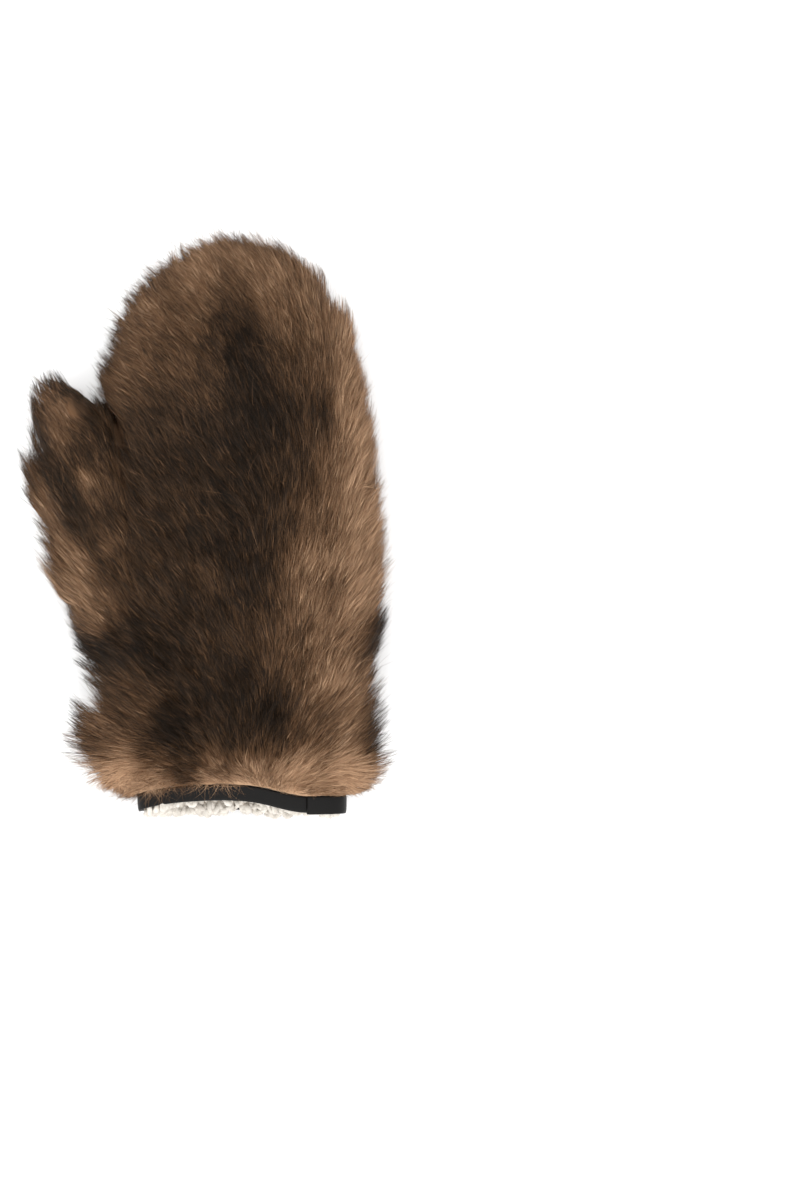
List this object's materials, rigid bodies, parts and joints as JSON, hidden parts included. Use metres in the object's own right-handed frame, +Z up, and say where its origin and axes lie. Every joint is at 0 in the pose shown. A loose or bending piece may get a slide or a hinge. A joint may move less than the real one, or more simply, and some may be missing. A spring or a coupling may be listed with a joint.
{
  "type": "fur mitten",
  "caption": "Long-haired fur mitten with a set-in thumb, a curly wool lining and a narrow leather band at the wrist, lying on its palm.",
  "frame": {"origin": "on the surface the mitten lies on, under the middle of its outline from fingertips to wrist and from thumb to little finger", "axes": "+Y from the wrist towards the fingertips, +X from the thumb towards the little finger, +Z up out of the back of the hand"},
  "size_m": [0.1897, 0.2966, 0.0593],
  "materials": {
    "fur": "long glossy guard hair, dark brown over a light tan undercoat",
    "wool": "cream curly lambswool",
    "leather": "smooth black leather, slight gloss"
  },
  "bodies": {
    "root": {"back_pelt": "fur", "palm_pelt": "fur", "thumb_pelt": "fur", "back_lining": "wool", "palm_lining": "wool", "thumb_lining": "wool", "cuff_band": "leather", "band_lap": "leather"}
  },
  "joints": []
}
